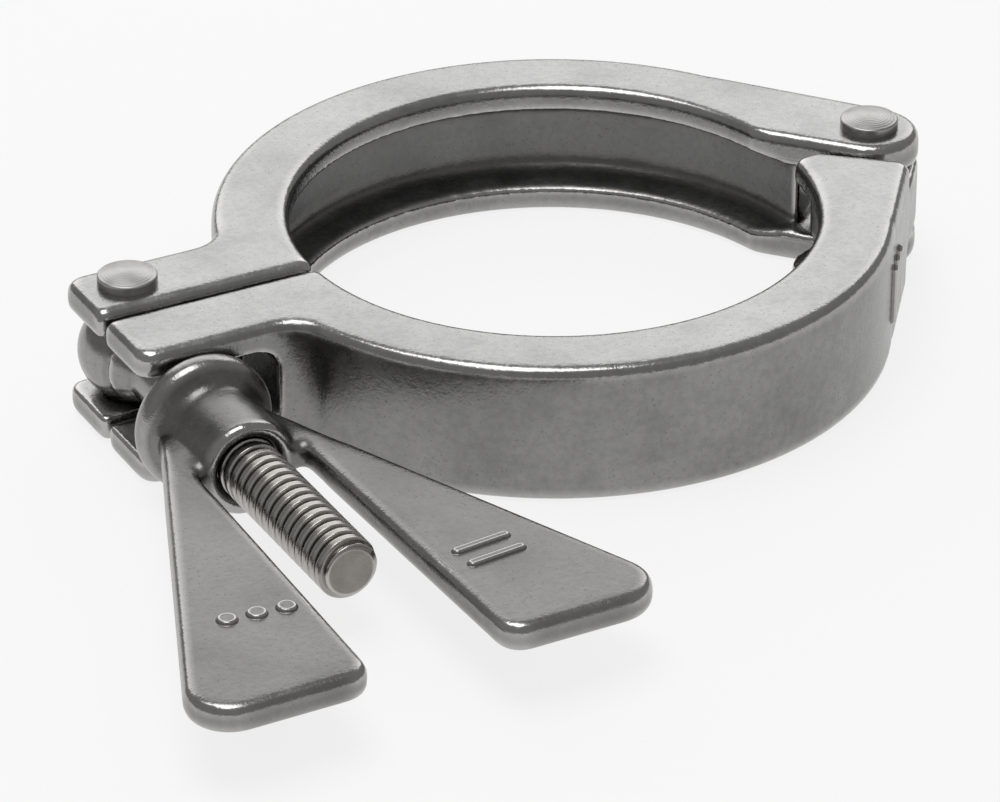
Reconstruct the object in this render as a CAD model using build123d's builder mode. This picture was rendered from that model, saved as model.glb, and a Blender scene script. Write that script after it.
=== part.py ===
"""Sanitary hinged clamp: two grooved cast halves on a hinge pin, closed by a swing eye bolt and wing nut.

Frame: origin at the centre of the lip bore on the clamp's mid-plane, +Z along the pipe axis,
+X towards the hinge pin, -X towards the fork; the bolt points along -Y. Millimetres.
"""
import os
from math import acos, cos, degrees, radians, sin, tan

from build123d import *

os.makedirs("parts", exist_ok=True)

# --- ring ---------------------------------------------------------------------------------------
height = 22.5            # ring, ears and lugs, along the pipe axis
ring_r = 53.0            # outside of the ring
lip_r = 41.0             # bore of the two lips
groove_r = 46.8          # wall of the groove, round the ferrule flanges
mouth_h = 14.4           # groove height at the lips
flank_deg = 20.0         # slope of each groove flank, as on the ferrules
parting_gap = 1.6        # between the halves, closed
edge_r = 1.7             # rounding of the cast top and bottom edges
bore_margin = 21.0       # run of a cutting line into the open bore

# --- hinge --------------------------------------------------------------------------------------
hinge_x = 57.2           # hinge pin from the centre
ear_r = 8.0              # round end of the ears and of the tongue
ear_t = 5.3              # thickness of each ear
ear_side_gap = 0.3       # between the tongue and each ear
ear_line_deg = 49.0      # slope of the straight side that joins an ear to the lip
step_dist = 10.0         # pin to the step that faces the other half's ears
step_line_deg = 41.0     # slope of that step
step_gap = 3.2           # stepped end from the parting plane
step_lip_r = 2.4         # rounding of the stepped end at the lip
step_out_r = 2.0         # rounding of the stepped end at the outside
ear_blend_r = 9.0        # rounding where the ear's straight side meets the lip
pin_r = 3.0              # both pins
pin_fit = 0.05           # radial running clearance round a pin
pin_seat = 0.02          # radial clearance where a pin is riveted in its own body
head_r = 4.6             # both pin heads
head_h = 1.5             # side of the head, above the ear or the lug
head_crown = 0.7         # crown on the head
head_edge = 0.3          # rounding of the head
tail_chamfer = 0.4       # bottom end of each pin

# --- fork ---------------------------------------------------------------------------------------
lug_end_x = 77.0         # outer end of the lugs from the centre
lug_y = 14.4             # back face of the far lugs and front face of the near lugs
lug_corner_r = 3.0       # rounding of the lugs' outer upright corners
lug_parting_r = 1.2      # rounding of their corners at the parting plane
lug_blend_r = 6.0        # hollow where the lugs run into the ring
slot_h = 13.5            # fork slot
slot_end_x = 54.6        # closed end of the slot
slot_corner_r = 3.0      # rounding of the closed end

# --- eye bolt -----------------------------------------------------------------------------------
bolt_x = 68.8            # bolt axis from the centre
eye_y = 8.0              # bolt pin from the parting plane
eye_r = 8.0              # ball of the eye
eye_flat_gap = 0.3       # between the eye's flats and each lug
neck_r = 4.4             # plain neck
neck_flare = 2.0         # flare of the neck at the eye
thread_r = 4.76          # 3/8 in thread, outside
neck_end = 20.0          # neck's end from the bolt pin
bolt_len = 74.4          # bolt's tip from the bolt pin
tip_chamfer = 1.1

# --- wing nut -----------------------------------------------------------------------------------
nut_gap = 1.2            # lug face to the nut's flange
thread_fit = 0.05        # radial clearance of the nut on the thread
flange_r = 10.9
flange_t = 4.0
flange_edge = 1.9        # rolled rim
barrel_r = 7.5
barrel_end = 18.5        # from the flange's back face
cone_t = 1.6             # slope from the flange to the barrel
mouth_chamfer = 1.2      # at the front of the thread
barrel_edge = 1.0        # rounding of the barrel's front
wing_t = 4.6             # wing thickness
wing_edge = 1.6
wing_root_w = 8.5        # half width at the flange
wing_start = 5.0         # from the flange's back face
wing_tip_y = 78.8        # tip, from the flange's back face
wing_tip_out = 39.0      # outer corner from the bolt axis, before rounding
wing_tip_in = 10.2       # inner corner from the bolt axis, before rounding
wing_out_r = 6.5         # rounding of the outer corner
wing_in_r = 4.0          # rounding of the inner corner

pin_hole_r = pin_r + pin_fit
seat_hole_r = pin_r + pin_seat
tongue_half = height / 2 - ear_t - ear_side_gap
ear_inner = height / 2 - ear_t
wall_h = mouth_h - 2 * (groove_r - lip_r) * tan(radians(flank_deg))
reach = lug_end_x + ring_r
far = 1
near = -1


def belt_deg(big_r, small_r, distance):
    """Direction of the contact points where a belt touches two circles on the X axis."""
    return degrees(acos((big_r - small_r) / distance))


def line_frame(distance, slope_deg, side):
    """Foot, normal and tangent of a straight line that passes the hinge pin at a distance."""
    nx = -sin(radians(slope_deg))
    ny = side * cos(radians(slope_deg))
    foot = (hinge_x + nx * distance, ny * distance)
    return foot, (nx, ny), (-ny * side, nx * side)


def along(foot, direction, length):
    """Point at a length from the foot of a line."""
    return (foot[0] + direction[0] * length, foot[1] + direction[1] * length)


def nearest(plan, place):
    """Corner of a plan that lies nearest a place."""
    return plan.vertices().sort_by_distance((place[0], place[1], 0))[0]


def half_plan(with_ear):
    """Plan of the far half at an ear level, or at the stepped level between the ears."""
    belt = radians(belt_deg(ring_r, ear_r, hinge_x))
    ring_touch = (ring_r * cos(belt), ring_r * sin(belt))
    ear_touch = (hinge_x + ear_r * cos(belt), ear_r * sin(belt))
    parting = parting_gap / 2
    with BuildSketch() as plan:
        Circle(ring_r)
        with BuildLine():
            Polyline((-reach, parting), (reach, parting), (reach, -reach), (-reach, -reach), close=True)
        make_face(mode=Mode.SUBTRACT)
        if with_ear:
            foot, normal, line = line_frame(ear_r, ear_line_deg, near)
            inner = along(foot, line, bore_margin)
            with BuildLine():
                Polyline(foot, inner, (inner[0], -ear_r), (foot[0], -ear_r), close=True)
            make_face(mode=Mode.SUBTRACT)
            with BuildLine():
                Polyline(ring_touch, ear_touch, (hinge_x, 0), foot, inner, close=True)
            make_face()
            with BuildSketch(Plane((hinge_x, 0, 0)), mode=Mode.PRIVATE) as ear:
                Circle(ear_r)
            add(ear.sketch)
        else:
            with BuildLine():
                Polyline(ring_touch, ear_touch, (hinge_x, parting), (lip_r, parting), close=True)
            make_face()
            foot, normal, line = line_frame(step_dist, step_line_deg, far)
            start = along(foot, line, reach)
            end = along(foot, line, -reach)
            with BuildLine():
                Polyline(start, end, along(end, normal, -reach), along(start, normal, -reach), close=True)
            make_face(mode=Mode.SUBTRACT)
            with BuildLine():
                Polyline((0, 0), (reach, 0), (reach, step_gap), (0, step_gap), close=True)
            make_face(mode=Mode.SUBTRACT)
        with BuildLine():
            Polyline(
                (-lug_end_x, parting),
                (-lug_end_x, lug_y),
                (-lip_r, lug_y),
                (-lip_r, parting),
                close=True,
            )
        make_face()
        Circle(lip_r, mode=Mode.SUBTRACT)
        if with_ear:
            fillet(nearest(plan, inner), ear_blend_r)
        else:
            fillet(nearest(plan, (lip_r, step_gap)), step_lip_r)
            fillet(nearest(plan, (hinge_x, step_dist)), step_out_r)
        fillet(nearest(plan, (-ring_r, lug_y)), lug_blend_r)
        fillet(nearest(plan, (-lug_end_x, lug_y)), lug_corner_r)
        fillet(nearest(plan, (-lug_end_x, parting)), lug_parting_r)
    return plan.sketch


def groove_profile():
    """Half section of the groove, to be turned round the pipe axis."""
    with BuildSketch(Plane.XZ) as profile:
        with BuildLine():
            Polyline(
                (lip_r - edge_r, mouth_h / 2),
                (lip_r, mouth_h / 2),
                (groove_r, wall_h / 2),
                (groove_r, -wall_h / 2),
                (lip_r, -mouth_h / 2),
                (lip_r - edge_r, -mouth_h / 2),
                close=True,
            )
        make_face()
    return profile.sketch


def slot_profile():
    """Section of the fork slot, open at the lugs' outer end."""
    with BuildSketch(Plane.XZ) as profile:
        with BuildLine():
            Polyline(
                (-reach, slot_h / 2),
                (-slot_end_x, slot_h / 2),
                (-slot_end_x, -slot_h / 2),
                (-reach, -slot_h / 2),
                close=True,
            )
        make_face()
        fillet(profile.vertices().group_by(Axis.X)[-1], slot_corner_r)
    return profile.sketch


ear_plan = half_plan(True)
step_plan = half_plan(False)

with BuildPart() as far_half:
    with BuildSketch(Plane.XY.offset(-height / 2)):
        add(ear_plan)
    extrude(amount=ear_t)
    with BuildSketch(Plane.XY.offset(-ear_inner)):
        add(step_plan)
    extrude(amount=2 * ear_inner)
    with BuildSketch(Plane.XY.offset(ear_inner)):
        add(ear_plan)
    extrude(amount=ear_t)
    fillet(far_half.faces().sort_by(Axis.Z)[-1].edges(), edge_r)
    fillet(far_half.faces().sort_by(Axis.Z)[0].edges(), edge_r)
    add(groove_profile())
    revolve(axis=Axis.Z, mode=Mode.SUBTRACT)
    add(slot_profile())
    extrude(amount=lug_end_x, dir=(0, 1, 0), both=True, mode=Mode.SUBTRACT)
    with BuildSketch(Plane((hinge_x, 0, -height))):
        Circle(seat_hole_r)
    extrude(amount=2 * height, mode=Mode.SUBTRACT)
    with BuildSketch(Plane((-bolt_x, eye_y, -height))):
        Circle(seat_hole_r)
    extrude(amount=2 * height, mode=Mode.SUBTRACT)
far_half.part.label = "far_half"
export_step(far_half.part, "parts/far_half.step")

with BuildPart() as near_half:
    with BuildSketch(Plane.XY.offset(-height / 2)):
        add(mirror(step_plan, about=Plane.XZ))
    extrude(amount=height / 2 - tongue_half)
    with BuildSketch(Plane.XY.offset(-tongue_half)):
        add(mirror(ear_plan, about=Plane.XZ))
    extrude(amount=2 * tongue_half)
    with BuildSketch(Plane.XY.offset(tongue_half)):
        add(mirror(step_plan, about=Plane.XZ))
    extrude(amount=height / 2 - tongue_half)
    fillet(near_half.faces().sort_by(Axis.Z)[-1].edges(), edge_r)
    fillet(near_half.faces().sort_by(Axis.Z)[0].edges(), edge_r)
    add(groove_profile())
    revolve(axis=Axis.Z, mode=Mode.SUBTRACT)
    add(slot_profile())
    extrude(amount=lug_end_x, dir=(0, 1, 0), both=True, mode=Mode.SUBTRACT)
    with BuildSketch(Plane((hinge_x, 0, -height))):
        Circle(pin_hole_r)
    extrude(amount=2 * height, mode=Mode.SUBTRACT)
near_half.part.label = "near_half"
export_step(near_half.part, "parts/near_half.step")


def crown(centre):
    """Half section of the low crown on a pin head."""
    rim = head_r - head_edge
    with BuildSketch(Plane(centre, x_dir=(1, 0, 0), z_dir=(0, -1, 0))) as section:
        with BuildLine():
            Polyline((0, height / 2 + head_h + head_crown), (0, height / 2 + head_h), (rim, height / 2 + head_h))
            RadiusArc(
                (rim, height / 2 + head_h),
                (0, height / 2 + head_h + head_crown),
                -(rim**2 + head_crown**2) / (2 * head_crown),
            )
        make_face()
    return section.sketch


with BuildPart() as hinge_pin:
    with BuildSketch(Plane((hinge_x, 0, -height / 2))):
        Circle(pin_r)
    extrude(amount=height)
    chamfer(hinge_pin.edges().sort_by(Axis.Z)[0], tail_chamfer)
    with BuildSketch(Plane((hinge_x, 0, height / 2))):
        Circle(head_r)
    extrude(amount=head_h)
    fillet(hinge_pin.edges().sort_by(Axis.Z)[-1], head_edge)
    add(crown((hinge_x, 0, 0)))
    revolve(axis=Axis((hinge_x, 0, 0), (0, 0, 1)))
hinge_pin.part.label = "hinge_pin"
export_step(hinge_pin.part, "parts/hinge_pin.step")

with BuildPart() as bolt_pin:
    with BuildSketch(Plane((-bolt_x, eye_y, -height / 2))):
        Circle(pin_r)
    extrude(amount=height)
    chamfer(bolt_pin.edges().sort_by(Axis.Z)[0], tail_chamfer)
    with BuildSketch(Plane((-bolt_x, eye_y, height / 2))):
        Circle(head_r)
    extrude(amount=head_h)
    fillet(bolt_pin.edges().sort_by(Axis.Z)[-1], head_edge)
    add(crown((-bolt_x, eye_y, 0)))
    revolve(axis=Axis((-bolt_x, eye_y, 0), (0, 0, 1)))
bolt_pin.part.label = "bolt_pin"
export_step(bolt_pin.part, "parts/bolt_pin.step")

eye_half = slot_h / 2 - eye_flat_gap
bolt_axis = Axis((-bolt_x, eye_y, 0), (0, -1, 0))
bolt_plane = Plane((-bolt_x, eye_y, 0), x_dir=(1, 0, 0), z_dir=(0, 0, -1))

with BuildPart() as eye_bolt:
    with BuildSketch(bolt_plane):
        with BuildLine():
            Polyline((0, eye_r), (0, -eye_r))
            CenterArc((0, 0), eye_r, -90, 180)
        make_face()
    revolve(axis=bolt_axis)
    with BuildSketch(Plane.XY.offset(-eye_half)):
        with BuildLine():
            Polyline((-2 * reach, -reach), (reach, -reach), (reach, reach), (-2 * reach, reach), close=True)
        make_face()
    extrude(amount=2 * eye_half, mode=Mode.INTERSECT)
    with BuildSketch(bolt_plane):
        with BuildLine():
            Polyline(
                (0, 0),
                (neck_r + neck_flare, eye_r - neck_flare),
                (neck_r, eye_r + neck_flare),
                (neck_r, neck_end),
                (thread_r, neck_end + thread_r - neck_r),
                (thread_r, bolt_len - tip_chamfer),
                (thread_r - tip_chamfer, bolt_len),
                (0, bolt_len),
                close=True,
            )
        make_face()
    revolve(axis=bolt_axis)
    with BuildSketch(Plane((-bolt_x, eye_y, -height))):
        Circle(pin_hole_r)
    extrude(amount=2 * height, mode=Mode.SUBTRACT)
eye_bolt.part.label = "eye_bolt"
export_step(eye_bolt.part, "parts/eye_bolt.step")

nut_plane = Plane((-bolt_x, -lug_y - nut_gap, 0), x_dir=(1, 0, 0), z_dir=(0, 0, -1))
nut_bore_r = thread_r + thread_fit


def wing(side):
    """One wing blank with its rounded edges, sunk into the barrel."""
    with BuildPart(mode=Mode.PRIVATE) as blank:
        with BuildSketch(nut_plane.offset(-wing_t / 2)) as outline:
            with BuildLine():
                Polyline(
                    (0, wing_start),
                    (side * wing_root_w, wing_start),
                    (side * wing_tip_out, wing_tip_y),
                    (side * wing_tip_in, wing_tip_y),
                    (side * wing_root_w, barrel_end),
                    (0, barrel_end),
                    close=True,
                )
            make_face()
            fillet(nearest(outline, (side * wing_tip_out, wing_tip_y)), wing_out_r)
            fillet(nearest(outline, (side * wing_tip_in, wing_tip_y)), wing_in_r)
        extrude(amount=wing_t)
        fillet(blank.faces().filter_by(Axis.Z).edges(), wing_edge)
    return blank.part


with BuildPart() as wing_nut:
    with BuildSketch(nut_plane) as flange_section:
        with BuildLine():
            Polyline(
                (0, 0),
                (flange_r, 0),
                (flange_r, flange_t),
                (barrel_r, flange_t + cone_t),
                (barrel_r, barrel_end),
                (0, barrel_end),
                close=True,
            )
        make_face()
        fillet(flange_section.vertices().group_by(Axis.X)[-1], flange_edge)
        fillet(nearest(flange_section, (barrel_r, flange_t + cone_t)), cone_t)
        fillet(nearest(flange_section, (barrel_r, barrel_end)), barrel_edge)
    revolve(axis=bolt_axis)
    add(wing(far))
    add(wing(near))
    with BuildSketch(nut_plane):
        with BuildLine():
            Polyline(
                (0, -nut_gap),
                (nut_bore_r, -nut_gap),
                (nut_bore_r, barrel_end - mouth_chamfer),
                (nut_bore_r + mouth_chamfer, barrel_end),
                (nut_bore_r + mouth_chamfer, wing_tip_y),
                (0, wing_tip_y),
                close=True,
            )
        make_face()
    revolve(axis=bolt_axis, mode=Mode.SUBTRACT)
wing_nut.part.label = "wing_nut"
export_step(wing_nut.part, "parts/wing_nut.step")
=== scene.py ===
import math
import bmesh
import bpy
import numpy as np
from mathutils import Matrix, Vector


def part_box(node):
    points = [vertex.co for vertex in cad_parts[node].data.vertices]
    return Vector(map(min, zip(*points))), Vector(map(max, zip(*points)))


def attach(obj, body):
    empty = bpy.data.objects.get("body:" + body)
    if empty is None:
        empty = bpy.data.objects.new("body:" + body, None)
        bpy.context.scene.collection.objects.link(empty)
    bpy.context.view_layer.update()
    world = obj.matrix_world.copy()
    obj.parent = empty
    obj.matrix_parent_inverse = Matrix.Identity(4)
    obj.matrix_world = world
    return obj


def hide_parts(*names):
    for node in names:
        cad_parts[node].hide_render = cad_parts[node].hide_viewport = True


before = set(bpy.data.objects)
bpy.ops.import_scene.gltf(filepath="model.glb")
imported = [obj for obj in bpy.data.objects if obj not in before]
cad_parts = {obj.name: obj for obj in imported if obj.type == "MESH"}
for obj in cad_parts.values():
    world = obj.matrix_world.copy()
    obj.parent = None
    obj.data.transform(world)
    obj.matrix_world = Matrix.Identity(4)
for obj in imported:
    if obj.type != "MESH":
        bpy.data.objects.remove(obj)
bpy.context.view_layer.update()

MM = 0.001

# ---- sizes, as in the CAD -----------------------------------------------------------------------
RING_R = 53.0 * MM           # outside of the ring
LIP_R = 41.0 * MM            # bore through the lips
GROOVE_R = 46.8 * MM         # floor of the V groove
EDGE_R = 1.7 * MM            # rounding of the ring's edges
MOUTH_HALF = 7.2 * MM        # half height of the groove at the lips
WALL_HALF = 5.09 * MM        # half height of the groove at its floor
EAR_R = 8.0 * MM             # round end at the hinge
TONGUE_HALF = 5.65 * MM      # half height of the tongue between the ears
STEP_CORNER = (57.0 * MM, -13.2 * MM)
EYE_R = 8.0 * MM             # ball eye of the bolt
NECK_R = 4.4 * MM
THREAD_R = 4.76 * MM
TIP_CHAMFER = 1.1 * MM
BARREL_R = 7.5 * MM          # barrel of the nut
BARREL_END = 18.5 * MM       # from the flange's face to the barrel's end
WING_ROOT = 8.5 * MM         # from the bolt's axis to where a wing meets the barrel
NUT_WEB = 2.3 * MM           # half thickness of a wing

# ---- sizes of what only the visual model has ----------------------------------------------------
PITCH = 2.117 * MM           # 12 threads per inch
THREAD_DEPTH = 0.85 * MM
THREAD_FROM = 19.0 * MM      # along the bolt from its pin, where the turned mesh takes over
THREAD_ROWS = 560
THREAD_COLUMNS = 64
SHANK_AT = 19.4 * MM         # where the neck starts to widen to the thread
RUN_IN_AT = 20.3 * MM        # where the thread starts to reach its depth
BRIGHT_FROM = 20.0 * MM      # where the bright thread's material starts
HALF_VOXEL = 0.48 * MM
NUT_VOXEL = 0.42 * MM
BOLT_VOXEL = 0.32 * MM
SNAP = 0.16 * MM             # how near a point is to a true surface to be put on it
HINGE_CLEAR = 5.5 * MM       # round each pin, where nothing is filled
BORE_CLEAR = 6.0 * MM        # round the nut's axis, where nothing is filled
EYE_CLEAR = 4.5 * MM         # round the bolt's pin, where nothing is filled
SADDLE_REACH = 8.0 * MM      # of the smoothing where a wing meets the barrel
STEP_REACH = 5.0 * MM        # of the smoothing at the stepped corner
MARK_REACH = 7.4 * MM        # of the finer mesh under a raised mark
MARK_EDGE = 0.5 * MM         # width of a raised mark's slope
BAR_SHIFT = 3.5 * MM         # of the near half's mark, along its flat side
NUT_MARK_OUT = 18.2 * MM     # from the bolt's axis to a wing's mark
NUT_MARK_BACK = 58.0 * MM    # from the flange's face to the wings' marks

# ---- places, read from the frame ----------------------------------------------------------------
hinge_lo, hinge_hi = [Vector(c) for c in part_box("hinge_pin")]
pin_lo, pin_hi = [Vector(c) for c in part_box("bolt_pin")]
bolt_lo, bolt_hi = [Vector(c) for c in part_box("eye_bolt")]
flange_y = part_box("wing_nut")[1][1]
far_lo, far_hi = [Vector(c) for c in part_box("far_half")]
pin_x = (pin_lo.x + pin_hi.x) / 2
pin_y = (pin_lo.y + pin_hi.y) / 2
hinge_x = (hinge_lo.x + hinge_hi.x) / 2
half_h = far_hi.z


# ---- mesh tools ---------------------------------------------------------------------------------
def point_data(mesh, what):
    flat = np.empty(len(mesh.vertices) * 3)
    mesh.vertices.foreach_get(what, flat)
    return flat.reshape(-1, 3)


def coords(mesh):
    return point_data(mesh, "co")


def normals(mesh):
    return point_data(mesh, "normal")


def put(mesh, co):
    mesh.vertices.foreach_set("co", co.ravel())
    mesh.update()


def ease(value):
    value = np.clip(value, 0, 1)
    return value * value * (3 - 2 * value)


def off_axis(co, x, y):
    return np.hypot(co[:, 0] - x, co[:, 1] - y)


def within(co, centre, reach, fade):
    """1 close to a point, falling to 0 at reach."""
    return ease((reach - np.linalg.norm(co - centre, axis=1)) / fade)


def pull_to(radius, away, chosen):
    """The scale that puts the chosen points near a radius on it."""
    on_surface = (np.abs(away - radius) < SNAP) & chosen
    return np.where(on_surface, radius / np.maximum(away, 1e-9), 1.0)


class Links:
    """Averages over the edges at each point of a mesh."""

    def __init__(self, mesh):
        ends = np.empty(len(mesh.edges) * 2, dtype=np.int64)
        mesh.edges.foreach_get("vertices", ends)
        self.a, self.b = ends[0::2], ends[1::2]
        self.points = len(mesh.vertices)
        self.count = np.maximum(np.bincount(ends, minlength=self.points), 1)

    def mean(self, for_a, for_b):
        total = np.bincount(self.a, for_a, self.points) + np.bincount(self.b, for_b, self.points)
        return total / self.count

    def around(self, values):
        return self.mean(values[self.b], values[self.a])

    def centre(self, co):
        return np.stack([self.around(co[:, k]) for k in range(3)], 1)


def fine_copy(node, name, voxel):
    """A CAD node's solid on an even fine mesh, ready to be softened as a casting is."""
    work = bpy.data.objects.new(name + "_work", bpy.data.objects[node].data.copy())
    bpy.context.collection.objects.link(work)
    weld = work.modifiers.new("weld", "WELD")
    weld.merge_threshold = 0.002 * MM
    grid = work.modifiers.new("grid", "REMESH")
    grid.mode = "VOXEL"
    grid.voxel_size = voxel
    bpy.context.view_layer.update()
    evaluated = work.evaluated_get(bpy.context.evaluated_depsgraph_get())
    mesh = bpy.data.meshes.new_from_object(evaluated)
    mesh.name = name
    mesh.materials.clear()
    bpy.data.objects.remove(work)
    return mesh


def relax(mesh, steps, weight=None, hollows=False):
    """Smooths the mesh, or with hollows=True only fills inward corners with a fillet."""
    rate = 0.5
    hold = 0.004 * MM
    normals_every = 8
    co = coords(mesh)
    links = Links(mesh)
    out = normals(mesh)
    for step in range(steps):
        if hollows and step and step % normals_every == 0:
            put(mesh, co)
            out = normals(mesh)
        move = links.centre(co) - co
        if hollows:
            lift = np.maximum((move * out).sum(1) - hold, 0)
            move = out * lift[:, None]
        if weight is not None:
            move = move * weight[:, None]
        co = co + rate * move
    put(mesh, co)


def mark_wear_and_shade(mesh):
    """Stores where the surface bulges or hollows: bulges for worn edges with a painted highlight,
    hollows for painted shade in the corners.
    """
    full_bend_r = 4 * MM
    co = coords(mesh)
    links = Links(mesh)
    long2 = ((co[links.a] - co[links.b]) ** 2).sum(1)
    spread = links.mean(long2, long2)
    pull = links.centre(co) - co
    bend = -(pull * normals(mesh)).sum(1) / np.maximum(spread, 1e-12)
    for _ in range(3):
        bend = 0.4 * bend + 0.6 * links.around(bend)
    # The first layer is bulges, for worn edges that are partly wear and partly a painted highlight;
    # the second is hollows, for painted shade in the corners.
    for name, value in (("wear_and_edge_light", bend), ("hollow_shade", -bend)):
        layer = mesh.attributes.new(name, "FLOAT", "POINT")
        layer.data.foreach_set("value", np.clip(value * full_bend_r, 0, 1).astype(np.float32))


def snap_ring(mesh):
    """Puts the turned surfaces of a half back on their true circles."""
    co = coords(mesh)
    r = np.hypot(co[:, 0], co[:, 1])
    z = np.abs(co[:, 2])
    sign = np.where(co[:, 2] < 0, -1.0, 1.0)
    body = z < half_h - EDGE_R
    best = np.full(len(r), SNAP)
    new_r, new_z = r.copy(), z.copy()

    def offer(valid, to_r, to_z):
        away = np.hypot(to_r - r, to_z - z)
        take = valid & (away < best)
        best[take] = away[take]
        new_r[take] = (to_r + 0 * r)[take]
        new_z[take] = (to_z + 0 * z)[take]

    offer(body, RING_R, z)
    offer(body & (z > MOUTH_HALF), LIP_R, z)
    offer(z < WALL_HALF, GROOVE_R, z)
    for centre, side in ((RING_R - EDGE_R, 1), (LIP_R + EDGE_R, -1)):
        dr, dz = r - centre, z - (half_h - EDGE_R)
        size = np.maximum(np.hypot(dr, dz), 1e-9)
        round_r = centre + dr / size * EDGE_R
        round_z = half_h - EDGE_R + dz / size * EDGE_R
        offer((dr * side > 0) & (dz > 0), round_r, round_z)
    run_r, run_z = GROOVE_R - LIP_R, WALL_HALF - MOUTH_HALF
    part = ((r - LIP_R) * run_r + (z - MOUTH_HALF) * run_z) / (run_r**2 + run_z**2)
    offer((part > 0) & (part < 1), LIP_R + part * run_r, MOUTH_HALF + part * run_z)
    scale = new_r / r
    put(mesh, np.stack([co[:, 0] * scale, co[:, 1] * scale, new_z * sign], 1))


def refine(mesh, centre, facing):
    """Divides the faces in a small area, for a raised mark."""
    bm = bmesh.new()
    bm.from_mesh(mesh)
    bm.normal_update()
    inside = [
        f for f in bm.faces
        if (f.calc_center_median() - centre).length < MARK_REACH and f.normal.dot(facing) > 0.8
    ]
    lines = list({e for f in inside for e in f.edges})
    bmesh.ops.subdivide_edges(bm, edges=lines, cuts=3, use_grid_fill=True)
    bmesh.ops.triangulate(bm, faces=[f for f in bm.faces if len(f.verts) > 4])
    bm.to_mesh(mesh)
    bm.free()
    mesh.update()


def raise_mark(mesh, centre, facing, along, strokes, width, height):
    """Raises rounded strokes, given as pairs of points in mm in the mark's own plane."""
    facing = Vector(facing).normalized()
    centre = Vector(centre)
    u = Vector(along).normalized()
    v = facing.cross(u)
    refine(mesh, centre, facing)
    co = coords(mesh)
    off = co - np.array(centre)
    pu = off @ np.array(u)
    pv = off @ np.array(v)
    near_plane = np.abs(off @ np.array(facing)) < 1.5 * MM
    near_plane &= normals(mesh) @ np.array(facing) > 0.7
    away = np.full(len(co), 1.0)
    for start, end in strokes:
        au, av, bu, bv = [value * MM for value in (*start, *end)]
        du, dv = bu - au, bv - av
        part = np.clip(((pu - au) * du + (pv - av) * dv) / max(du * du + dv * dv, 1e-12), 0, 1)
        away = np.minimum(away, np.hypot(pu - au - part * du, pv - av - part * dv))
    lift = height * ease((width / 2 + MARK_EDGE / 2 - away) / MARK_EDGE) * near_plane
    put(mesh, co + lift[:, None] * np.array(facing))


def make_piece(mesh, name, body, node, mat):
    mesh.shade_smooth()
    mark_wear_and_shade(mesh)
    piece = bpy.data.objects.new(name, mesh)
    bpy.context.collection.objects.link(piece)
    mesh.materials.append(mat)
    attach(piece, body)
    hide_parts(node)


# ---- materials: noise and cell scales are per metre ---------------------------------------------
class Nodes:
    """A material with a Principled shader, and short ways to add nodes to it."""

    def __init__(self, name):
        self.mat = bpy.data.materials.new(name)
        self.mat.use_nodes = True
        self.tree = self.mat.node_tree
        self.tree.nodes.clear()
        self.out = self.add("ShaderNodeOutputMaterial")
        self.bsdf = self.add("ShaderNodeBsdfPrincipled")
        self.wire(self.bsdf.outputs["BSDF"], self.out.inputs["Surface"])
        self.coord = self.add("ShaderNodeTexCoord")
        self.place = self.coord.outputs["Object"]

    def add(self, kind, **props):
        node = self.tree.nodes.new(kind)
        for key, value in props.items():
            setattr(node, key, value)
        return node

    def wire(self, out, inp):
        self.tree.links.new(out, inp)

    def feed(self, value, inp):
        if isinstance(value, bpy.types.NodeSocket):
            self.wire(value, inp)
        else:
            inp.default_value = value

    def noise(self, scale, detail, rough):
        node = self.add("ShaderNodeTexNoise")
        node.inputs["Scale"].default_value = scale
        node.inputs["Detail"].default_value = detail
        node.inputs["Roughness"].default_value = rough
        self.wire(self.place, node.inputs["Vector"])
        return node.outputs["Fac"]

    def cells(self, scale):
        node = self.add("ShaderNodeTexVoronoi", feature="F1")
        node.inputs["Scale"].default_value = scale
        self.wire(self.place, node.inputs["Vector"])
        return node.outputs["Distance"]

    def ramp(self, source, *stops):
        node = self.add("ShaderNodeValToRGB")
        els = node.color_ramp.elements
        while len(els) > 1:
            els.remove(els[-1])
        els[0].position = stops[0][0]
        els[0].color = (*[stops[0][1]] * 3, 1)
        for pos, value in stops[1:]:
            els.new(pos).color = (value, value, value, 1)
        self.wire(source, node.inputs["Fac"])
        return node.outputs["Color"]

    def math(self, op, a, b=0.0):
        node = self.add("ShaderNodeMath", operation=op)
        self.feed(a, node.inputs[0])
        self.feed(b, node.inputs[1])
        return node.outputs[0]

    def total(self, *parts):
        """Adds up values, each with its weight."""
        terms = [self.math("MULTIPLY", value, weight) for value, weight in parts]
        result = terms[0]
        for term in terms[1:]:
            result = self.math("ADD", result, term)
        return result

    def mix(self, a, b, fac, mode="MIX"):
        node = self.add("ShaderNodeMix", data_type="RGBA", blend_type=mode)
        self.feed(fac, node.inputs[0])
        self.feed(a, node.inputs[6])
        self.feed(b, node.inputs[7])
        return node.outputs[2]

    def xyz(self, vector):
        node = self.add("ShaderNodeSeparateXYZ")
        self.wire(vector, node.inputs[0])
        return node.outputs

    def layer(self, name):
        node = self.add("ShaderNodeAttribute", attribute_type="GEOMETRY", attribute_name=name)
        return node.outputs["Fac"]

    def shade_hollows_light_worn_edges(self, colour, hollow_shade_mask, shade_grey, shade_amount, worn_edge_light_mask, edge_light_grey, edge_light_amount):
        """Darkens the inward corners with painted shade, then brightens the worn edges, partly wear
        and partly a painted highlight.
        """
        colour = self.mix(colour, shade_grey, self.math("MULTIPLY", hollow_shade_mask, shade_amount))
        return self.mix(colour, edge_light_grey, self.math("MULTIPLY", worn_edge_light_mask, edge_light_amount))

    def bump(self, height):
        node = self.add("ShaderNodeBump")
        node.inputs["Strength"].default_value = 1.0
        node.inputs["Distance"].default_value = MM
        self.wire(height, node.inputs["Height"])
        self.wire(node.outputs["Normal"], self.bsdf.inputs["Normal"])


def grey(value, warm=0.0):
    return (value * (1 + warm), value, value * (1 - 1.4 * warm), 1)


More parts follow.
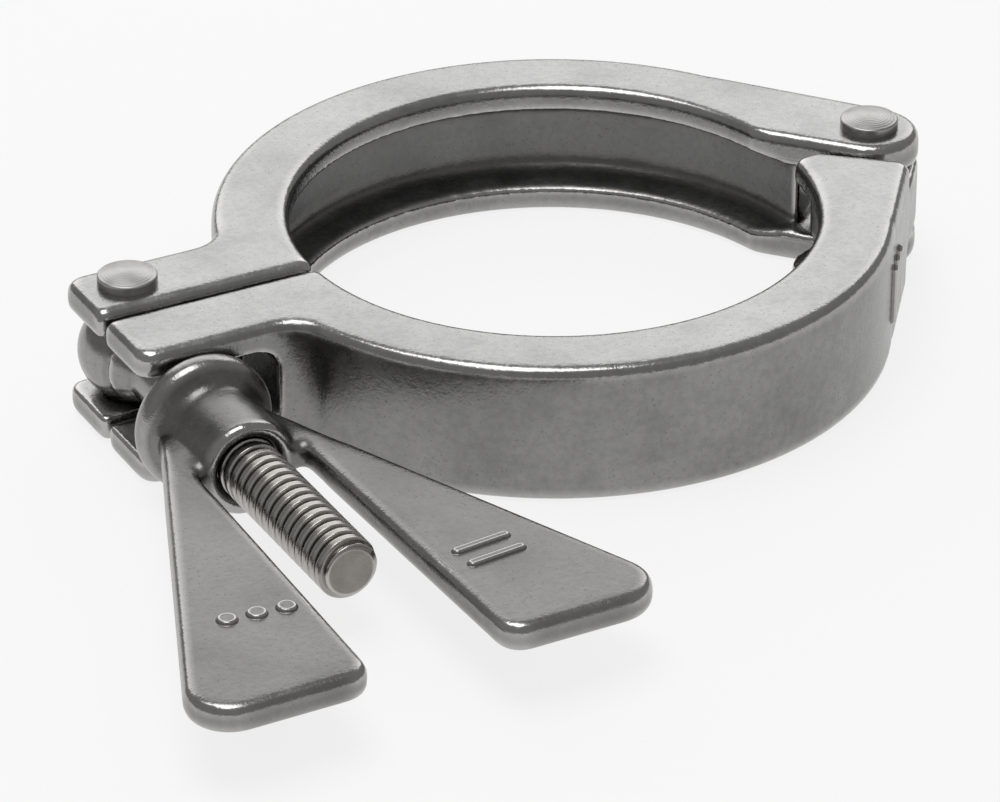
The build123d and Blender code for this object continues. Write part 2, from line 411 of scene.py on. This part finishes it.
def cast_steel(name, shaded_side_grey, lit_top_grey, rough, grain, groove=None, warm=0.01):
    """Polished investment casting: grain, pinholes, stains, bright worn edges that are partly a
    painted highlight, painted shade in the corners and in the groove, and painted light and shade as
    separate greys for tops and sides.
    """
    n = Nodes(name)
    n.bsdf.inputs["Metallic"].default_value = 1.0
    fine = n.noise(2300.0, 2.0, 0.6)
    mid = n.noise(900.0, 3.0, 0.6)
    broad = n.noise(60.0, 4.0, 0.55)
    cloud = n.noise(190.0, 4.0, 0.6)
    # Masks from the mesh's bend: bulging edges for wear and a painted highlight, inward corners for
    # painted shade.
    worn_edge_light_mask = n.ramp(n.layer("wear_and_edge_light"), (0.12, 0.0), (0.75, 1.0))
    hollow_shade_mask = n.ramp(n.layer("hollow_shade"), (0.1, 0.0), (0.7, 1.0))
    tilt = n.xyz(n.coord.outputs["Normal"])["Z"]
    # Painted light and shade: faces that point up get one grey, the sides another.
    lit_top_mask = n.ramp(n.math("ABSOLUTE", tilt), (0.6, 0.0), (0.95, 1.0))
    colour = n.mix(grey(shaded_side_grey, warm), grey(lit_top_grey, warm * 0.5), lit_top_mask)
    groove_dull_and_shade = 0.0
    # Painted shade in the V groove: inside it the colour goes to a darker grey, and the same mask also
    # makes it rougher.
    if groove is not None:
        where = n.xyz(n.place)
        flat = n.add("ShaderNodeCombineXYZ")
        n.wire(where["X"], flat.inputs["X"])
        n.wire(where["Y"], flat.inputs["Y"])
        size = n.add("ShaderNodeVectorMath", operation="LENGTH")
        n.wire(flat.outputs[0], size.inputs[0])
        near_axis = n.math("LESS_THAN", size.outputs["Value"], GROOVE_R + 0.5 * MM)
        low = n.math("LESS_THAN", n.math("ABSOLUTE", where["Z"]), MOUTH_HALF)
        groove_dull_and_shade = n.math("MULTIPLY", near_axis, low)
        colour = n.mix(colour, grey(groove, warm), groove_dull_and_shade)
    for stains in (
        n.ramp(broad, (0.3, 0.84), (0.5, 0.98), (0.72, 1.06)),
        n.ramp(cloud, (0.3, 0.87), (0.6, 1.05)),
        n.ramp(mid, (0.36, 0.91), (0.6, 1.03)),
    ):
        colour = n.mix(colour, stains, 1.0, "MULTIPLY")
    pinholes = n.ramp(n.cells(1150.0), (0.08, 0.6), (0.26, 1.0))
    specks = n.mix((1, 1, 1, 1), pinholes, n.ramp(cloud, (0.45, 0.15), (0.6, 0.85)))
    colour = n.mix(colour, specks, 1.0, "MULTIPLY")
    # Painted shade in the inward corners, and a bright grey on the worn edges that is partly a painted
    # highlight.
    colour = n.shade_hollows_light_worn_edges(colour, hollow_shade_mask, grey(0.2, 0.07), 0.65, worn_edge_light_mask, grey(0.62, 0.015), 0.5)
    n.wire(colour, n.bsdf.inputs["Base Color"])
    sheen = n.total((cloud, 0.2), (mid, 0.1), (rough - 0.15, 1.0), (worn_edge_light_mask, -0.12), (groove_dull_and_shade, 0.1))
    n.wire(sheen, n.bsdf.inputs["Roughness"])
    n.bump(n.total((fine, grain), (mid, grain * 1.5), (broad, 0.12), (specks, 0.03)))
    return n.mat


def turned_steel(name, shade, rough, centre, axis, rings, warm=0.02, thread=False):
    """Turned bar: fine marks round an axis, grain and faint stains; on a thread, painted shade in the
    roots and bright crests that are partly wear and partly a painted highlight.
    """
    n = Nodes(name)
    n.bsdf.inputs["Metallic"].default_value = 1.0
    shift = n.add("ShaderNodeMapping")
    shift.inputs["Location"].default_value = (-centre[0], -centre[1], -centre[2])
    n.wire(n.place, shift.inputs["Vector"])
    wave = n.add("ShaderNodeTexWave", wave_type="RINGS", rings_direction=axis)
    wave.inputs["Scale"].default_value = rings
    wave.inputs["Distortion"].default_value = 0.5
    wave.inputs["Detail"].default_value = 2.0
    n.wire(shift.outputs["Vector"], wave.inputs["Vector"])
    grain = n.noise(2100.0, 3.0, 0.6)
    cloud = n.noise(330.0, 3.0, 0.55)
    stains = n.ramp(cloud, (0.35, 0.0), (0.62, 1.0))
    colour = n.mix(grey(shade * 0.82, warm), grey(shade, warm), stains)
    if thread:
        # Thread: painted shade in the roots, and a bright grey on the crests that is partly wear and
        # partly a painted highlight.
        worn_edge_light_mask = n.ramp(n.layer("wear_and_edge_light"), (0.1, 0.0), (0.8, 1.0))
        hollow_shade_mask = n.ramp(n.layer("hollow_shade"), (0.1, 0.0), (0.7, 1.0))
        colour = n.shade_hollows_light_worn_edges(colour, hollow_shade_mask, grey(0.1, 0.1), 0.8, worn_edge_light_mask, grey(0.7, 0.03), 0.6)
    n.wire(colour, n.bsdf.inputs["Base Color"])
    sheen = n.total((grain, 0.12), (cloud, 0.1), (rough - 0.11, 1.0))
    n.wire(sheen, n.bsdf.inputs["Roughness"])
    n.bump(n.total((wave.outputs["Fac"], 0.02), (grain, 0.015)))
    return n.mat


# The first two greys of each casting are painted light and shade for the sides and the tops; groove is
# the grey of the painted shade in the V groove.
half_mat = cast_steel("cast_half", shaded_side_grey=0.25, lit_top_grey=0.345, rough=0.27, grain=0.03, groove=0.175)
nut_mat = cast_steel("cast_nut", shaded_side_grey=0.2, lit_top_grey=0.19, rough=0.31, grain=0.028, warm=0.025)
eye_mat = cast_steel("forged_eye", shaded_side_grey=0.25, lit_top_grey=0.3, rough=0.24, grain=0.015, warm=0.03)
hinge_mat = turned_steel("pin_hinge", 0.42, 0.34, (hinge_x, 0, 0), "Z", rings=700.0)
pin_mat = turned_steel("pin_bolt", 0.42, 0.34, (pin_x, pin_y, 0), "Z", rings=700.0)
bolt_mat = turned_steel("bolt_turned", 0.25, 0.27, (pin_x, pin_y, 0), "Y", rings=600.0,
                        warm=0.06, thread=True)

# ---- the two halves -----------------------------------------------------------------------------
for node in ("far_half", "near_half"):
    mesh = fine_copy(node, node + "_casting", HALF_VOXEL)
    snap_ring(mesh)
    co = coords(mesh)
    by_pins = np.minimum(off_axis(co, hinge_x, 0), off_axis(co, pin_x, pin_y))
    relax(mesh, 40, weight=ease((by_pins - HINGE_CLEAR) / (2 * MM)), hollows=True)
    relax(mesh, 7)
    co = coords(mesh)
    for level in (-TONGUE_HALF, TONGUE_HALF):
        corner = np.array((STEP_CORNER[0], STEP_CORNER[1] * (1 if node == "near_half" else -1), level))
        relax(mesh, 30, weight=within(co, corner, STEP_REACH, 2.5 * MM))
    if node == "near_half":
        turn = math.acos((RING_R - EAR_R) / hinge_x)
        facing = (math.cos(turn), -math.sin(turn), 0)
        along = (math.sin(turn), math.cos(turn), 0)
        foot = [RING_R * f + BAR_SHIFT * s for f, s in zip(facing, along)]
        bars = [((x, -4.2), (x, 4.2)) for x in (-2.6, 0.6, 3.8)]
        raise_mark(mesh, foot, facing, along, bars, width=1.7 * MM, height=0.75 * MM)
    make_piece(mesh, node + "_casting", node, node, half_mat)

# ---- wing nut -----------------------------------------------------------------------------------
mesh = fine_copy("wing_nut", "wing_nut_casting", NUT_VOXEL)
co = coords(mesh)
around = np.hypot(co[:, 0] - pin_x, co[:, 2])
keep = ease((around - BORE_CLEAR) / (0.8 * MM))
pull = pull_to(BARREL_R, around, co[:, 1] > flange_y - 18 * MM)
put(mesh, np.stack([pin_x + (co[:, 0] - pin_x) * pull, co[:, 1], co[:, 2] * pull], 1))
relax(mesh, 70, weight=keep, hollows=True)
for side in (-1, 1):
    saddle = np.array((pin_x + side * WING_ROOT, flange_y - BARREL_END, 0))
    spot = within(coords(mesh), saddle, SADDLE_REACH, 3.0 * MM)
    relax(mesh, 400, weight=spot * keep, hollows=True)
    relax(mesh, 12, weight=spot * keep)
relax(mesh, 6, weight=0.3 + 0.7 * keep)
dots = [((x, 0), (x, 0.01)) for x in (-4.4, 0.0, 4.4)]
bars = [((-4.0, y), (4.0, y)) for y in (-2.0, 2.0)]
for side, strokes, width in ((-1, dots, 2.9 * MM), (1, bars, 1.5 * MM)):
    spot = (pin_x + side * NUT_MARK_OUT, flange_y - NUT_MARK_BACK, NUT_WEB)
    raise_mark(mesh, spot, (0, 0, 1), (1, side * 0.1, 0), strokes, width, height=0.5 * MM)
make_piece(mesh, "wing_nut_casting", "wing_nut", "wing_nut", nut_mat)

# ---- eye bolt: eye and neck from the CAD, then a cut thread -------------------------------------
mesh = fine_copy("eye_bolt", "eye_bolt_threaded", BOLT_VOXEL)
co = coords(mesh)
centre = np.array((pin_x, pin_y, 0))
away = np.linalg.norm(co - centre, axis=1)
pull = pull_to(EYE_R, away, np.abs(co[:, 2]) < bolt_hi.z - 0.3 * MM)
put(mesh, centre + (co - centre) * pull[:, None])
by_pin = ease((off_axis(coords(mesh), pin_x, pin_y) - EYE_CLEAR) / MM)
relax(mesh, 60, weight=by_pin, hollows=True)
relax(mesh, 5)

bm = bmesh.new()
bm.from_mesh(mesh)
bmesh.ops.bisect_plane(
    bm,
    geom=bm.verts[:] + bm.edges[:] + bm.faces[:],
    plane_co=(pin_x, pin_y - THREAD_FROM, 0),
    plane_no=(0, -1, 0),
    clear_outer=True,
)
tip = pin_y - bolt_lo.y
tip_r = THREAD_R - TIP_CHAMFER
t = np.linspace(THREAD_FROM + 0.25 * MM, tip, THREAD_ROWS)[:, None]
angles = np.linspace(0, 2 * math.pi, THREAD_COLUMNS, endpoint=False)
phase = np.mod(t / PITCH - angles / (2 * math.pi), 1.0)
crest = ease((np.abs(phase - 0.5) * 2 - 0.18) / 0.34)
run_in = ease((t - RUN_IN_AT) / (2.0 * MM))
body_r = NECK_R + (THREAD_R - NECK_R) * ease((t - SHANK_AT) / (0.9 * MM))
radius = np.minimum(body_r - THREAD_DEPTH * run_in * (1 - crest), tip_r + (tip - t))
rows = list(zip(t[:, 0], radius))
rows += [(tip, np.full(THREAD_COLUMNS, tip_r * inner)) for inner in (0.96, 0.9, 0.6, 0.25)]
rings = [
    [bm.verts.new((pin_x + r * math.cos(p), pin_y - y, r * math.sin(p))) for r, p in zip(row, angles)]
    for y, row in rows
]
for low, high in zip(rings, rings[1:]):
    for j in range(THREAD_COLUMNS):
        k = (j + 1) % THREAD_COLUMNS
        bm.faces.new((low[j], low[k], high[k], high[j]))
bm.faces.new(rings[-1])
bmesh.ops.bridge_loops(bm, edges=[e for e in bm.edges if e.is_boundary])
bmesh.ops.recalc_face_normals(bm, faces=bm.faces[:])
bm.to_mesh(mesh)
bm.free()
mesh.update()
make_piece(mesh, "eye_bolt_threaded", "eye_bolt", "eye_bolt", eye_mat)
mesh.materials.append(bolt_mat)
for face in mesh.polygons:
    face.material_index = int(face.center.y < pin_y - BRIGHT_FROM)

# ---- pins: the CAD nodes themselves -------------------------------------------------------------
for node, mat in (("hinge_pin", hinge_mat), ("bolt_pin", pin_mat)):
    for slot in bpy.data.objects[node].material_slots:
        slot.material = mat

# ---- floor: pale paper, nearly even where it is seen and plain where it lights the metal --------
FLOOR_SIZE = 8
FLOOR_GLOW = 0.82

paper = Nodes("floor_paper")
paper.bsdf.inputs["Base Color"].default_value = (0.88, 0.88, 0.88, 1)
paper.bsdf.inputs["Roughness"].default_value = 0.95
paper.bsdf.inputs["Specular IOR Level"].default_value = 0.0
glow = paper.add("ShaderNodeEmission")
blend = paper.add("ShaderNodeMixShader")
rays = paper.add("ShaderNodeLightPath").outputs
mirrored = paper.math("MAXIMUM", rays["Is Glossy Ray"], rays["Is Transmission Ray"])
seen = paper.math("MAXIMUM", rays["Is Camera Ray"], mirrored)
paper.wire(paper.math("MULTIPLY", seen, FLOOR_GLOW), blend.inputs["Fac"])
paper.wire(paper.bsdf.outputs["BSDF"], blend.inputs[1])
paper.wire(glow.outputs["Emission"], blend.inputs[2])
paper.wire(blend.outputs["Shader"], paper.out.inputs["Surface"])
bpy.ops.mesh.primitive_plane_add(size=FLOOR_SIZE, location=(0, 0, far_lo.z))
floor = bpy.context.object
floor.name = "floor"
floor.data.materials.append(paper.mat)

# ---- light --------------------------------------------------------------------------------------
world = bpy.context.scene.world or bpy.data.worlds.new("studio")
bpy.context.scene.world = world
world.use_nodes = True
sky = world.node_tree
sky.nodes.clear()
sky_out = sky.nodes.new("ShaderNodeOutputWorld")
sky_bg = sky.nodes.new("ShaderNodeBackground")
sky_bg.inputs["Color"].default_value = (1, 1, 1, 1)
sky_bg.inputs["Strength"].default_value = 0.3
sky.links.new(sky_bg.outputs[0], sky_out.inputs["Surface"])


def turn_to(obj, direction):
    obj.rotation_euler = Vector(direction).to_track_quat("-Z", "Y").to_euler()


def area(name, place, size, power):
    """A soft light that faces the origin."""
    light = bpy.data.lights.new(name, "AREA")
    light.shape = "RECTANGLE"
    light.size, light.size_y = size
    light.energy = power
    obj = bpy.data.objects.new(name, light)
    bpy.context.collection.objects.link(obj)
    obj.location = place
    turn_to(obj, -Vector(place))


area("overhead", (-0.15, 0.0, 0.9), size=(0.7, 0.5), power=3.4)
area("back", (0.45, 1.0, 0.62), size=(1.5, 0.8), power=5.6)

# ---- camera -------------------------------------------------------------------------------------
cam_data = bpy.data.cameras.new("camera")
cam = bpy.data.objects.new("camera", cam_data)
bpy.context.collection.objects.link(cam)
cam_data.sensor_width = 36.0
cam_data.lens = 194.43
cam_data.clip_end = 20.0
cam_data.shift_x = -0.01475
cam_data.shift_y = -0.0019
cam.location = (-0.35755, -0.65137, 0.39571)
turn_to(cam, (0.41293, 0.7669, -0.49127))
bpy.context.scene.camera = cam
bpy.context.scene.view_settings.view_transform = "Standard"
